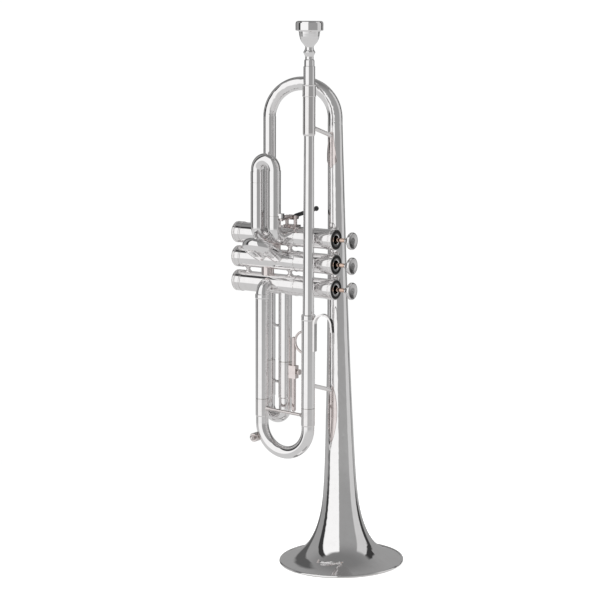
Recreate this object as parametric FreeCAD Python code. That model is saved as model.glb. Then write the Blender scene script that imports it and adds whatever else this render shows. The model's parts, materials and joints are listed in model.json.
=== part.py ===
import FreeCAD
import Part
import math
import os

# B-flat trumpet with three piston valves and a thumb trigger on the first slide.
# Modelling axes (mm): +Z towards the mouthpiece, +X towards the finger buttons ("upper" on a
# valve), -Y towards the leadpipe.  Origin: centre of the bell rim.  The bell axis leans slightly
# against the valve block, so every piece is turned once on saving to put that axis on +Z.

os.makedirs("parts", exist_ok=True)

Vector = FreeCAD.Vector
AXIS_X, AXIS_Y, AXIS_Z = Vector(1, 0, 0), Vector(0, 1, 0), Vector(0, 0, 1)
ORIGIN = Vector(0, 0, 0)

# ---- shared dimensions ----
FIT = 0.03                    # radial running clearance of small pins

# bell
BELL_LEAN_X = -0.020          # bell axis: x = BELL_LEAN_X * z
BELL_LEAN_Y = -0.006          # bell axis: y = BELL_LEAN_Y * z
BELL_LEAN = Vector(BELL_LEAN_X, BELL_LEAN_Y, 1.0)
TURN = FreeCAD.Rotation(BELL_LEAN, AXIS_Z)

# valve block
VALVES = (1, 2, 3)
VALVE_PITCH = 24.0
VALVE_Z = {valve: 322.8 - VALVE_PITCH * (valve - 1) for valve in VALVES}
VALVE_Y = -22.5
CASING_LOW, CASING_HIGH = -102.0, 0.9
CASING_R = 9.85
UPPER_CASING_R = CASING_R - 0.15   # between the band and the upper collar
UPPER_CASING_END = -3.4
COLLAR_R = CASING_R + 0.25         # collars at both casing ends
BAND_X = -39.2                     # start of the raised band around the casing
BAND_R = CASING_R + 0.3
STROKE = 15.0
OUT_X = {1: -71.1, 2: -65.5, 3: -73.3}               # air outlet of each casing
IN_X = {1: OUT_X[2], 2: OUT_X[3], 3: -67.9}          # air inlet of each casing
LEG_SPACING = 19.5
SLIDE_X = {valve: (x, x + LEG_SPACING)               # lower and upper leg of each slide
           for valve, x in {1: -72.6, 2: -76.0, 3: -72.0}.items()}
S2_ANGLE = math.radians(28.0)                        # second slide, raised from -Y to +Z
S2_DIR = Vector(0, -math.cos(S2_ANGLE), math.sin(S2_ANGLE))
IN_DIR = {1: -AXIS_Z, 2: -AXIS_Z, 3: -AXIS_Y}
OUT_DIR = {1: AXIS_Z, 2: AXIS_Z, 3: AXIS_Z}
SLIDE_DIR = {1: -AXIS_Y, 2: S2_DIR, 3: -AXIS_Z}

# slide tubing
SLEEVE_R, SLEEVE_BORE = 6.60, 6.18
INNER_R, INNER_BORE = 6.15, 5.83
CROOK_R, CROOK_BORE = 6.15, 5.75
ELBOW_BORE = 5.75
RING_R = 6.95                 # rings around the main sleeves
JOINT_GAP = 0.6               # open line at pushed-in slide joints

# leadpipe and main tuning slide
LEAD_X, LEAD_Y = -14.1, -39.5
LOW_X = IN_X[3]               # lower leg of the main slide
MAIN_UPPER_TOP = 251.0

# first slide
S1_Y = -41.0
S1_ELBOW_TURN = 9.2
S1_ELBOW_R = 6.3
S1_UPPER_JOINT = 344.1

# thumb trigger
HUB = Vector(-44.6, -24.0, 341.5)
TRIGGER_ARM = 17.0
TRIGGER_DROP = math.radians(4.0)     # the short arm hangs below level at rest
TIP = Vector(-44.5, HUB.y - TRIGGER_ARM * math.cos(TRIGGER_DROP),
             HUB.z - TRIGGER_ARM * math.sin(TRIGGER_DROP))
PIN_R = 0.9


# ---- helpers ----
def bar(radius, start, end):
    along = end - start
    return Part.makeCylinder(radius, along.Length, start, along)


def cone(start_radius, end_radius, start, end):
    along = end - start
    return Part.makeCone(start_radius, end_radius, along.Length, start, along)


def tube(outer, bore, start, end):
    step = (end - start).normalize()
    return bar(outer, start, end).cut(bar(bore, start - step, end + step))


def box(x0, x1, y0, y1, z0, z1):
    return Part.makeBox(x1 - x0, y1 - y0, z1 - z0, Vector(x0, y0, z0))


def fuse(first, *others):
    return first.multiFuse(list(others)).removeSplitter()


def largest(shape):
    """Drop the offcuts that a cut leaves loose."""
    return max(shape.Solids, key=lambda solid: solid.Volume)


def disc(centre, normal, radius):
    return Part.Face(Part.Wire(Part.makeCircle(radius, centre, normal)))


def polygon_face(points):
    return Part.Face(Part.makePolygon(points + [points[0]]))


def turned(profile, origin, axis=AXIS_Z):
    """Revolve a closed outline of (distance along the axis, radius) points."""
    radial = AXIS_Y if axis == AXIS_X else AXIS_X
    points = [origin + axis * along + radial * radius for along, radius in profile]
    return polygon_face(points).revolve(origin, axis, 360)


def waisted(half_profile, waist, length, origin, axis):
    """Spool symmetric about its narrow middle."""
    mirrored = [(length - along, radius) for along, radius in reversed(half_profile)]
    return turned(half_profile + [(length / 2, waist)] + mirrored, origin, axis)


def half_turn(radius, first, second, along, side):
    """Bar bent from first to second; legs parallel to along, bow towards side * along."""
    axis = along.cross(second - first) * side
    return disc(first, along, radius).revolve((first + second) * 0.5, axis, 180)


def elbow(start, side, turn, radius):
    """Bar from start, bent from side * Z towards +Y, then on to the plane of the valve axes."""
    pivot = start + Vector(0, turn, 0)
    bend = disc(start, AXIS_Z, radius).revolve(pivot, AXIS_X * -side, 90)
    end = pivot + Vector(0, 0, side * turn)
    return fuse(bend, bar(radius, end, Vector(end.x, VALVE_Y, end.z)))


def grooved(shape, start, length, radius, count, groove_radius):
    """Cut a ring of round grooves parallel to X, just outside the given radius."""
    grooves = []
    for i in range(count):
        angle = 2 * math.pi * i / count
        offset = Vector(0, math.cos(angle), math.sin(angle)) * (radius + 0.05)
        grooves.append(Part.makeCylinder(groove_radius, length, start + offset, AXIS_X))
    return shape.cut(grooves)


def spline_edge(points):
    curve = Part.BSplineCurve()
    curve.interpolate(points)
    return curve.toShape()


def save(name, *shapes):
    """Gather the solids, turn the bell axis onto +Z and write the piece."""
    solids = [solid for shape in shapes for solid in shape.Solids]
    piece = solids[0] if len(solids) == 1 else Part.makeCompound(solids)
    piece = piece.copy()
    piece.Placement = FreeCAD.Placement(ORIGIN, TURN).multiply(piece.Placement)
    piece.exportStep("parts/%s.step" % name)


def on_valve(valve, x, direction=AXIS_X, distance=0.0):
    return Vector(x, VALVE_Y, VALVE_Z[valve]) + direction * distance


def casing_bar(valve, low=CASING_LOW + 1.8, high=BAND_X, radius=CASING_R):
    """Solid bar used to trim pieces to a casing."""
    return bar(radius, on_valve(valve, low), on_valve(valve, high))


# ---- bell: built on an upright axis, then leaned ----
BELL_WALL = 0.5
RIM_R = 61.5                  # outside radius over the rolled bead
BEAD_R = 1.35
BEAD_FLAT = 0.12              # depth of the flat under the bead
BELL_OUTER = [                # (height, outside radius) along the bell axis
    (2.0, 59.4), (3.3, 55.2), (5.4, 49.7), (8.2, 44.1), (11.6, 39.3),
    (15.6, 35.0), (22.0, 30.2), (29.6, 26.25), (36.4, 23.6), (43.0, 21.6),
    (50.0, 19.95), (61.0, 18.1), (73.5, 16.8), (86.0, 15.85), (98.0, 15.15),
    (116.0, 14.3), (137.0, 13.45), (152.0, 12.88), (167.0, 12.36),
    (182.0, 11.87), (197.0, 11.42), (227.0, 10.65), (256.0, 10.0),
    (300.0, 9.12), (339.0, 8.45), (378.0, 7.87), (410.0, 7.42), (430.0, 7.15)]
STEM_END_Z, STEM_END_R = BELL_OUTER[-1]   # where the bell stem becomes the bow
BOW_TOP_Z = 469.6                         # centreline height of the bow
BOW_STEPS = 12
TAIL_X, TAIL_R = OUT_X[1], 6.15

# the bow is a half turn in the upright plane through the stem's end and the tail
BELL_DIR = Vector(BELL_LEAN).normalize()
STEM_END = BELL_DIR * STEM_END_Z
STEM_TO_TAIL = Vector(TAIL_X - STEM_END.x, VALVE_Y - STEM_END.y, 0)
BOW_R = STEM_TO_TAIL.Length / 2.0
BOW_Z = BOW_TOP_Z - BOW_R


def bell_side(offset):
    """Points of the outside curve, moved along its normals."""
    stations = [Vector(radius, 0, z) for z, radius in BELL_OUTER]
    last = len(stations) - 1
    points = []
    for i, station in enumerate(stations):
        before = station - stations[max(i - 1, 0)]
        after = stations[min(i + 1, last)] - station
        tangent = before + after
        if 0 < i < last:
            # tangent of the circle through the three points
            ratio = after.Length / before.Length
            tangent = before * ratio + after * (1 / ratio)
        normal = Vector(tangent.z, 0, -tangent.x).normalize()
        points.append(station + normal * offset)
    return points


def bell_face(outer_offset, inner_offset):
    outer, inner = bell_side(outer_offset), bell_side(inner_offset)
    return Part.Face(Part.Wire([
        spline_edge(outer), Part.makeLine(outer[-1], inner[-1]),
        spline_edge(list(reversed(inner))), Part.makeLine(inner[0], outer[0])]))


def lean_over(shape):
    leaned = shape.copy()
    leaned.Placement = FreeCAD.Placement(ORIGIN, TURN.inverted())
    return leaned


def bell_skin(thickness):
    """Layer lying on the outside of the bell."""
    return lean_over(bell_face(thickness, 0.0).revolve(ORIGIN, AXIS_Z, 360))


def bell_plug(offset):
    """Everything inside the bell's outside surface grown by offset."""
    outer = bell_side(offset)
    top, bottom = Vector(0, 0, outer[-1].z), Vector(0, 0, outer[0].z)
    face = Part.Face(Part.Wire([
        spline_edge(outer), Part.makeLine(outer[-1], top),
        Part.makeLine(top, bottom), Part.makeLine(bottom, outer[0])]))
    return lean_over(face.revolve(ORIGIN, AXIS_Z, 360))


def flare():
    bead = disc(Vector(RIM_R - BEAD_R, 0, BEAD_R - BEAD_FLAT), AXIS_Y, BEAD_R)
    below = polygon_face([Vector(50, 0, 0), Vector(80, 0, 0), Vector(80, 0, -5), Vector(50, 0, -5)])
    section = bell_face(0.0, -BELL_WALL).fuse(bead).cut(below).removeSplitter()
    return lean_over(section.Faces[0].revolve(ORIGIN, AXIS_Z, 360))


def bow_loft(offset):
    across = Vector(STEM_TO_TAIL).normalize()
    middle = Vector(STEM_END.x, STEM_END.y, BOW_Z) + across * BOW_R
    # the first section blends the leaning stem into the upright bow
    wires = [Part.Wire(Part.makeCircle(STEM_END_R + offset, STEM_END, BELL_DIR))]
    for i in range(BOW_STEPS + 1):
        share = i / BOW_STEPS
        sine, cosine = math.sin(math.pi * share), math.cos(math.pi * share)
        centre = middle - across * (BOW_R * cosine) + Vector(0, 0, BOW_R * sine)
        tangent = across * sine + Vector(0, 0, cosine)
        radius = STEM_END_R + (TAIL_R - STEM_END_R) * (0.08 + 0.92 * share)
        wires.append(Part.Wire(Part.makeCircle(radius + offset, centre, tangent)))
    return Part.makeLoft(wires, True, False)


def bell_bow():
    """Bow and the straight tail down to the first casing."""
    low, top = on_valve(1, TAIL_X), Vector(TAIL_X, VALVE_Y, BOW_Z)
    tail = bar(TAIL_R, low, top).cut(bar(TAIL_R - BELL_WALL, low, top))
    tail = tail.cut(casing_bar(1, CASING_LOW, CASING_HIGH))
    return fuse(bow_loft(0.0).cut(bow_loft(-BELL_WALL)), tail)


save("bell", flare(), bell_bow())

# ---- valve casings, caps and guides ----
BORE_R, BORE_UPPER_R = 8.45, 8.80
SPIGOT_R = 9.35               # casing ends that carry the caps
LEDGE_X = -32.0               # ledge that the valve guide rests on
GUIDE_T = 2.0
PORT_R, LEG_PORT_R = 4.6, 4.9
PORT_REACH = 12
BOTTOM_CAP_X, BOTTOM_CAP_R = -111.4, 10.45
TOP_CAP_X, TOP_CAP_R = 6.4, 10.25
FELT_SEAT_X = TOP_CAP_X - 1.3


def valve_casing(valve):
    low, high, band = CASING_LOW, CASING_HIGH, BAND_X
    casing = turned([
        (low - 4.5, SPIGOT_R), (low, SPIGOT_R), (low, COLLAR_R), (low + 1.4, COLLAR_R),
        (low + 1.8, CASING_R), (band, CASING_R), (band + 0.3, BAND_R), (band + 1.8, BAND_R),
        (band + 2.1, UPPER_CASING_R), (UPPER_CASING_END, UPPER_CASING_R),
        (UPPER_CASING_END + 0.4, COLLAR_R), (high, COLLAR_R), (high, SPIGOT_R),
        (high + 3.5, SPIGOT_R), (high + 3.5, BORE_UPPER_R), (LEDGE_X, BORE_UPPER_R),
        (LEDGE_X, BORE_R), (low - 4.5, BORE_R)], on_valve(valve, 0), AXIS_X)
    ports = [(PORT_R, IN_X[valve], IN_DIR[valve]), (PORT_R, OUT_X[valve], OUT_DIR[valve])]
    ports += [(LEG_PORT_R, x, SLIDE_DIR[valve]) for x in SLIDE_X[valve]]
    return casing.cut([bar(radius, on_valve(valve, x), on_valve(valve, x, direction, PORT_REACH))
                       for radius, x, direction in ports])


def bottom_cap(valve):
    end, rim, radius = BOTTOM_CAP_X, CASING_LOW, BOTTOM_CAP_R
    cap = turned([
        (end, 1.5), (end, 5.2), (end + 0.35, 8.2), (end + 1.0, 9.5), (end + 1.6, radius - 0.35),
        (end + 2.1, radius), (end + 4.3, radius), (end + 4.7, radius - 0.35),
        (end + 5.3, radius - 0.35), (end + 5.7, radius - 0.05), (rim, radius - 0.05),
        (rim, SPIGOT_R), (rim - 4.6, SPIGOT_R), (rim - 4.6, 8.6), (end + 1.9, 8.6),
        (end + 1.4, 7.4), (end + 1.1, 5.2), (end + 1.1, 1.5)], on_valve(valve, 0), AXIS_X)
    return grooved(cap, on_valve(valve, end + 2.1), 2.2, radius, 48, 0.3)


def top_cap(valve):
    end, rim, radius = TOP_CAP_X, CASING_HIGH, TOP_CAP_R
    cap = turned([
        (rim, radius), (end - 1.0, radius), (end - 0.5, radius - 0.15), (end - 0.1, 9.7),
        (end - 0.1, 8.95), (FELT_SEAT_X, 8.95), (FELT_SEAT_X, 6.5), (end, 6.5), (end, 5.0),
        (end - 0.3, 4.5), (rim + 3.6, 4.5), (rim + 3.6, SPIGOT_R), (rim, SPIGOT_R)],
        on_valve(valve, 0), AXIS_X)
    return grooved(cap, on_valve(valve, rim + 1.2), 2.0, radius, 48, 0.28)


def top_cap_felt(valve):
    return tube(8.9, 6.55, on_valve(valve, FELT_SEAT_X), on_valve(valve, TOP_CAP_X + 0.15))


def valve_guide(valve):
    """Hub inside the spring barrel, with two arms resting on the ledge."""
    low, high = LEDGE_X, LEDGE_X + GUIDE_T
    z = VALVE_Z[valve]
    arms = box(low, high, VALVE_Y - 8.7, VALVE_Y + 8.7, z - 2.0, z + 2.0)
    arms = arms.common(casing_bar(valve, low, high, BORE_UPPER_R - 0.05))
    guide = fuse(casing_bar(valve, low, high, 5.1), arms)
    return guide.cut(casing_bar(valve, low - 1, high + 1, 1.5))


for valve in VALVES:
    save("valve_casing_%d" % valve, valve_casing(valve))
for name, build in (("bottom_caps", bottom_cap), ("top_caps", top_cap),
                    ("top_cap_felts", top_cap_felt), ("valve_guides", valve_guide)):
    save(name, *[build(valve) for valve in VALVES])

# ---- pistons, stems, buttons and springs ----
PISTON_R = 8.40
PISTON_LOW, PISTON_HIGH = -86.5, -33.0
BARREL_R, BARREL_BORE = 6.4, 5.4
BARREL_END = -3.0
CHAMBER_END = BARREL_END - 1.6
STEM_R, SCREW_R = 2.0, 1.2    # stem, and its thin ends
FELT_LOW, FELT_HIGH = BARREL_END + 1.2, BARREL_END + 2.6
BUTTON_X, BUTTON_R = 25.6, 8.35
BUTTON_UNDER = BUTTON_X - 3.7
BUTTON_LOW = BUTTON_UNDER - 5.2     # end of the neck below the button
SPRING_WIRE_R, SPRING_R, SPRING_TURNS = 0.35, 4.4, 6.0
LANE_END = 9.5                # lanes run out past the piston's surface


def lane(points, radius):
    """Air passage through the points, rounded at each corner."""
    pieces = [Part.makeSphere(radius, point) for point in points[1:-1]]
    pieces += [bar(radius, start, end) for start, end in zip(points[:-1], points[1:])]
    return fuse(*pieces)


def piston_lanes(valve):
    to_in, to_out, to_slide = IN_DIR[valve], OUT_DIR[valve], SLIDE_DIR[valve]

    def route(radius, *stops):
        return lane([on_valve(valve, *stop) for stop in stops], radius)

    in_x, out_x = IN_X[valve], OUT_X[valve]
    yield route(4.3, (in_x, to_in, LANE_END), (in_x,), (out_x,), (out_x, to_out, LANE_END))

    # pressed, the piston sits STROKE lower, so its slide lanes lie STROKE higher
    in_x, out_x = in_x + STROKE, out_x + STROKE
    low, high = [x + STROKE for x in SLIDE_X[valve]]
    if valve == 2:
        yield route(2.5, (in_x, to_in, LANE_END), (in_x + 3.0, to_in, 4.2),
                    (high - 2.5, to_in, 3.2), (high, to_slide, 2.0), (high, to_slide, LANE_END))
        yield route(2.3, (low, to_slide, LANE_END), (low + 3.5, to_slide, 5.0),
                    (out_x - 3.5, to_out, 3.0), (out_x, to_out, 5.0), (out_x, to_out, LANE_END))
    else:
        yield route(2.6, (in_x, to_in, LANE_END), (in_x + 6, to_in, 1.5),
                    (high, to_slide, 2.0), (high, to_slide, LANE_END))
        yield route(2.4, (low, to_slide, LANE_END), (low, to_slide, 2.5),
                    (out_x, to_out, 2.5), (out_x, to_out, LANE_END))


def piston(valve):
    def core(radius, low, high):
        return casing_bar(valve, low, high, radius)

    z = VALVE_Z[valve]
    body = fuse(core(PISTON_R, PISTON_LOW, PISTON_HIGH), core(BARREL_R, PISTON_HIGH, BARREL_END))
    # spring chamber with two windows for the guide's arms
    body = body.cut(core(BARREL_BORE, PISTON_HIGH + 0.4, CHAMBER_END))
    body = body.cut(box(PISTON_HIGH + 0.5, PISTON_HIGH + 19.5, VALVE_Y - 9, VALVE_Y + 9,
                        z - 2.2, z + 2.2))
    body = body.cut(core(1.25, BARREL_END - 2, BARREL_END + 1))
    # hollow lower end
    body = body.cut(core(7.2, PISTON_LOW - 1, PISTON_LOW + 7.0))
    for passage in piston_lanes(valve):
        body = body.cut(passage)
    return body


def valve_stem(valve):
    end = BARREL_END
    return fuse(
        turned([(end - 2.0, 0.0), (end - 2.0, SCREW_R), (end, SCREW_R), (end, STEM_R + 0.9),
                (FELT_LOW, STEM_R + 0.9), (FELT_LOW, STEM_R), (BUTTON_LOW, STEM_R),
                (BUTTON_LOW, 0.0)], on_valve(valve, 0), AXIS_X),
        casing_bar(valve, BUTTON_LOW, BUTTON_X - 2.0, SCREW_R))


def finger_button(valve):
    top, under, radius = BUTTON_X, BUTTON_UNDER, BUTTON_R
    return turned([
        (BUTTON_LOW, SCREW_R), (BUTTON_LOW, 2.6), (under - 4.6, 2.95), (under - 3.4, 3.05),
        (under - 1.6, 3.7), (under - 0.5, 4.3), (under - 0.3, 6.2), (under + 0.35, 7.7),
        (under + 0.9, radius - 0.15), (under + 1.5, radius), (top - 0.9, radius),
        (top - 0.35, radius - 0.2), (top, radius - 0.8), (top, radius - 1.3),
        (top - 0.25, radius - 1.6), (top - 0.5, 3.5), (top - 0.55, 0.0), (top - 2.0, 0.0),
        (top - 2.0, SCREW_R)], on_valve(valve, 0), AXIS_X)


def stem_felt(valve):
    return tube(4.1, STEM_R, on_valve(valve, FELT_LOW), on_valve(valve, FELT_HIGH))


def valve_spring(valve):
    """Return spring between the guide and the barrel's end."""
    low = LEDGE_X + GUIDE_T
    pitch = (CHAMBER_END - low - 2 * SPRING_WIRE_R - 0.1) / SPRING_TURNS
    helix = Part.makeHelix(pitch, pitch * SPRING_TURNS, SPRING_R)
    helix.Placement = FreeCAD.Placement(on_valve(valve, low + SPRING_WIRE_R + 0.05),
                                        FreeCAD.Rotation(AXIS_Z, AXIS_X))
    edge = helix.Edges[0]
    start = edge.FirstParameter
    section = Part.makeCircle(SPRING_WIRE_R, edge.valueAt(start), edge.tangentAt(start))
    return Part.Wire(helix.Edges).makePipeShell([Part.Wire(section)], True, True)


for valve in VALVES:
    for name, build in (("piston", piston), ("valve_stem", valve_stem),
                        ("finger_button", finger_button), ("stem_felt", stem_felt),
                        ("valve_spring", valve_spring)):
        save("%s_%d" % (name, valve), build(valve))

# ---- knuckles and spool braces between neighbouring casings ----
KNUCKLE_R, KNUCKLE_BORE = 6.2, 5.6
SPOOL_X = (-96.4, -46.8)
SPOOL_SINK = 0.9              # how far the spools reach back into the casing outlines
SPOOL_HALF = [(0, 0), (0, 3.6), (0.9, 3.5), (1.5, 2.7), (2.2, 2.1)]   # (along, radius)
NEIGHBOURS = ((3, 2), (2, 1))


def air_knuckle(source, target):
    knuckle = tube(KNUCKLE_R, KNUCKLE_BORE,
                   on_valve(source, OUT_X[source]), on_valve(target, IN_X[target]))
    knuckle = knuckle.cut(casing_bar(source)).cut(casing_bar(target))
    if target == 1:
        # clear the legs of the second slide
        knuckle = knuckle.cut([bar(SLEEVE_R, on_valve(2, x), on_valve(2, x, S2_DIR, 30))
                               for x in SLIDE_X[2]])
    return largest(knuckle)


def casing_spool(source, target, x):
    start = VALVE_Z[source] + CASING_R - SPOOL_SINK
    length = VALVE_Z[target] - CASING_R + SPOOL_SINK - start
    spool = waisted(SPOOL_HALF, 1.9, length, Vector(x, VALVE_Y, start), AXIS_Z)
    return spool.cut([casing_bar(valve, x - 8, x + 8) for valve in (source, target)])


save("air_knuckles", *[air_knuckle(*pair) for pair in NEIGHBOURS])
save("casing_spools", *[casing_spool(*pair, x) for pair in NEIGHBOURS for x in SPOOL_X])

# ---- leadpipe, receiver and the fixed half of the main slide ----
LEADPIPE_LOW = 244.0
LEADPIPE_TOP = 440.0
RECEIVER_TOP, RECEIVER_LOW = 470.0, 421.8
RECEIVER_R = 5.95
SOCKET_Z = 445.6              # bottom of the mouthpiece socket
UPPER_JOINT_Z = 160.0         # sleeve end on the leadpipe leg
LOWER_JOINT_Z = 163.4         # sleeve end on the lower leg
MAIN_LOWER_TOP = 266.5
INLET_R = 6.2


def lead(z):
    return Vector(LEAD_X, LEAD_Y, z)


def lower(z):
    return Vector(LOW_X, LEAD_Y, z)


def shank_radius(z):
    """Mouthpiece shank taper."""
    return 5.45 + (z - RECEIVER_TOP) / 40.0


def leadpipe():
    return turned([
        (LEADPIPE_LOW, 5.05), (LEADPIPE_LOW, 5.55), (MAIN_UPPER_TOP, 5.55), (420.0, 4.8),
        (LEADPIPE_TOP, 4.8), (LEADPIPE_TOP, 4.35), (420.0, 4.35), (MAIN_UPPER_TOP, 5.05)], lead(0))


def mouthpiece_receiver():
    low, top = RECEIVER_LOW, RECEIVER_TOP
    return turned([
        (low, 4.8), (low, 5.15), (low + 1.6, 5.85), (424.6, RECEIVER_R), (458.7, RECEIVER_R),
        (458.7, 6.35), (459.1, 6.5), (462.0, 6.35), (468.6, 6.35), (469.6, 6.6), (top, 6.5),
        (top, shank_radius(top) + FIT), (SOCKET_Z, shank_radius(SOCKET_Z) + FIT),
        (SOCKET_Z, 4.6), (LEADPIPE_TOP, 4.6), (LEADPIPE_TOP, 4.8)], lead(0))


def main_upper_sleeve():
    low, top = UPPER_JOINT_Z, MAIN_UPPER_TOP
    return turned([
        (low, SLEEVE_BORE), (low, SLEEVE_R), (top - 5.6, SLEEVE_R), (top - 5.4, RING_R - 0.1),
        (top - 4.6, RING_R), (top - 0.6, RING_R - 0.1), (top, 6.3), (top, 5.55),
        (LEADPIPE_LOW, 5.55), (LEADPIPE_LOW, SLEEVE_BORE)], lead(0))


def main_lower_sleeve():
    low, top = LOWER_JOINT_Z, MAIN_LOWER_TOP
    return turned([
        (low, SLEEVE_BORE), (low, SLEEVE_R), (top - 4.6, SLEEVE_R), (top - 4.3, RING_R - 0.1),
        (top - 3.6, RING_R), (top - 0.5, RING_R), (top, 6.5), (top, INLET_R),
        (top - 5.0, INLET_R), (top - 5.0, SLEEVE_BORE)], lower(0))


def inlet_elbow():
    def inlet_bar(radius, depth):
        top = MAIN_LOWER_TOP
        return fuse(elbow(lower(top), 1, VALVE_Z[3] - top, radius),
                    bar(radius, lower(top - depth), lower(top)))

    return inlet_bar(INLET_R, 5.0).cut(inlet_bar(ELBOW_BORE, 6.0)).cut(casing_bar(3))


save("leadpipe", leadpipe())
save("mouthpiece_receiver", mouthpiece_receiver())
save("main_upper_sleeve", main_upper_sleeve())
save("main_lower_sleeve", main_lower_sleeve())
save("inlet_elbow", inlet_elbow())

# ---- moving half of the main tuning slide, with its water key ----
MAIN_BOW_Z = 139.0            # start of the bow's half circle
MAIN_LEG_Z = 151.0            # where the bow's legs meet the inner tubes
MAIN_BOW_R = (LEAD_X - LOW_X) / 2.0
MAIN_CENTRE = (lead(MAIN_BOW_Z) + lower(MAIN_BOW_Z)) * 0.5
KEY_ANGLE = math.radians(25.0)      # from -X towards -Z
KEY_DIR = Vector(-math.cos(KEY_ANGLE), 0, -math.sin(KEY_ANGLE))
KEY_CENTRE = MAIN_CENTRE + KEY_DIR * (MAIN_BOW_R + 8.7)
KEY_ORIGIN = Vector(KEY_CENTRE.x, 0, KEY_CENTRE.z)
KEY_Y0, KEY_Y1 = LEAD_Y - 8.0, LEAD_Y + 6.5
KEY_R = 2.48                  # button of the water key


def main_ferrule(top, origin):
    return turned([(top, INNER_R), (top, SLEEVE_R), (top - 16.5, SLEEVE_R), (top - 17.5, 6.35),
                   (top - 17.5, INNER_R)], origin)


def main_bow_bar(radius):
    first, second = lead(MAIN_BOW_Z), lower(MAIN_BOW_Z)
    return fuse(bar(radius, first, lead(MAIN_LEG_Z)),
                half_turn(radius, first, second, AXIS_Z, -1),
                bar(radius, second, lower(MAIN_LEG_Z)))


def key_rod(radius, offset):
    """Bar from the bow towards the water key's centre."""
    return bar(radius, MAIN_CENTRE + KEY_DIR * (MAIN_BOW_R + offset), KEY_CENTRE)


def main_slide_bow():
    return main_bow_bar(CROOK_R).cut(main_bow_bar(CROOK_BORE)).cut(key_rod(1.6, 3.0))


def main_slide_brace():
    """Slanted cross rod between the ferrules."""
    start, end = lower(153.6), lead(151.3)
    along = (end - start).normalize()
    brace = fuse(bar(1.5, start, end),
                 cone(3.2, 1.6, start + along * 5.5, start + along * 9.2),
                 cone(3.2, 1.6, end - along * 5.5, end - along * 9.2))
    for leg in (lead, lower):
        brace = brace.cut(bar(SLEEVE_R, leg(140), leg(165)))
    return largest(brace)


def water_key_barrel():
    """Barrel across the bow, open at its -Y end, on a short saddle."""
    y0, y1 = KEY_Y0, KEY_Y1
    barrel = turned([
        (y0, KEY_R + FIT), (y0, 4.0), (y0 + 0.5, 4.4), (y0 + 2.0, 4.4), (y0 + 2.3, 4.1),
        (y0 + 3.2, 4.1), (y0 + 3.5, 4.4), (y1 - 0.6, 4.4), (y1, 3.8), (y1, 1.0),
        (y1 - 1.2, 1.0), (y1 - 1.2, KEY_R + FIT)], KEY_ORIGIN, AXIS_Y)
    clearance = bar(4.2, KEY_ORIGIN + AXIS_Y * (y0 - 1), KEY_ORIGIN + AXIS_Y * (y1 + 1))
    saddle = key_rod(2.4, 4.0).cut(clearance)
    return largest(fuse(barrel, saddle).cut(main_bow_bar(CROOK_R)).cut(key_rod(1.6, 3.0)))


def water_key_button():
    y0 = KEY_Y0
    return turned([
        (y0 - 3.6, 0.0), (y0 - 3.6, 1.1), (y0 - 3.2, 1.6), (y0 - 2.7, 1.7), (y0 - 2.6, 2.1),
        (y0 - 2.2, KEY_R), (y0 + 9.0, KEY_R), (y0 + 9.0, 0.0)], KEY_ORIGIN, AXIS_Y)


save("main_slide_tubes", tube(INNER_R, INNER_BORE, lead(MAIN_LEG_Z), lead(243.0)),
     tube(INNER_R, INNER_BORE, lower(MAIN_LEG_Z), lower(260.0)))
save("main_slide_ferrules", main_ferrule(UPPER_JOINT_Z - JOINT_GAP, lead(0)),
     main_ferrule(LOWER_JOINT_Z - JOINT_GAP, lower(0)))
save("main_slide_bow", main_slide_bow())
save("main_slide_brace", main_slide_brace())
save("water_key_barrel", water_key_barrel())
save("water_key_button", water_key_button())

# ---- first slide ----
S1_LOW, S1_HIGH = SLIDE_X[1]
S1_ELBOW_Z = VALVE_Z[1] + S1_ELBOW_TURN
S1_LOWER_JOINT = 374.7
S1_LEG_Z = 380.0              # where the crook meets the inner tube of the lower leg
S1_TOP = 397.3                # centreline height of the crook
S1_BEND = S1_TOP - LEG_SPACING / 2.0


def first(x, z):
    return Vector(x, S1_Y, z)


def first_elbow_bar(x, radius):
    return elbow(first(x, S1_ELBOW_Z), -1, S1_ELBOW_TURN, radius)


def first_elbow(x):
    bent = first_elbow_bar(x, S1_ELBOW_R).cut(first_elbow_bar(x, ELBOW_BORE))
    return largest(bent.cut(casing_bar(1)))


def first_slide_sleeve():
    low, top = S1_ELBOW_Z, S1_LOWER_JOINT
    return turned([(low, ELBOW_BORE), (low, SLEEVE_R), (top, SLEEVE_R), (top, SLEEVE_BORE),
                   (low + 1.0, SLEEVE_BORE), (low + 1.0, ELBOW_BORE)], first(S1_LOW, 0))


def first_slide_fixed_tube():
    low, step, top = S1_ELBOW_Z, S1_UPPER_JOINT - JOINT_GAP, 384.0
    return turned([(low, INNER_BORE), (low, SLEEVE_R), (step, SLEEVE_R), (step, INNER_R),
                   (top, INNER_R), (top, INNER_BORE)], first(S1_HIGH, 0))


def first_outer_tube():
    """Moving sleeve of the upper leg, with the lug above the trigger's tip."""
    low, top = S1_UPPER_JOINT, S1_BEND
    outer = turned([(low, SLEEVE_BORE), (low, SLEEVE_R), (top - 0.6, SLEEVE_R), (top, 6.4),
                    (top, SLEEVE_BORE)], first(S1_HIGH, 0))
    y0, y1 = S1_Y - 2.3, S1_Y + 3.0
    lug = fuse(box(-49.5, -43.2, y0, y1, low + 0.2, low + 2.2),
               box(-46.25, -43.2, y0, y1, TIP.z + 1.45, low + 1.0))
    lug = lug.cut(bar(SLEEVE_R, first(S1_HIGH, 335), first(S1_HIGH, 360)))
    return fuse(outer, largest(lug))


def first_ferrule():
    low, top = S1_LOWER_JOINT + JOINT_GAP, 385.5
    return turned([(low, INNER_R), (low, SLEEVE_R), (top - 0.5, SLEEVE_R), (top, 6.4),
                   (top, INNER_R)], first(S1_LOW, 0))


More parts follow.
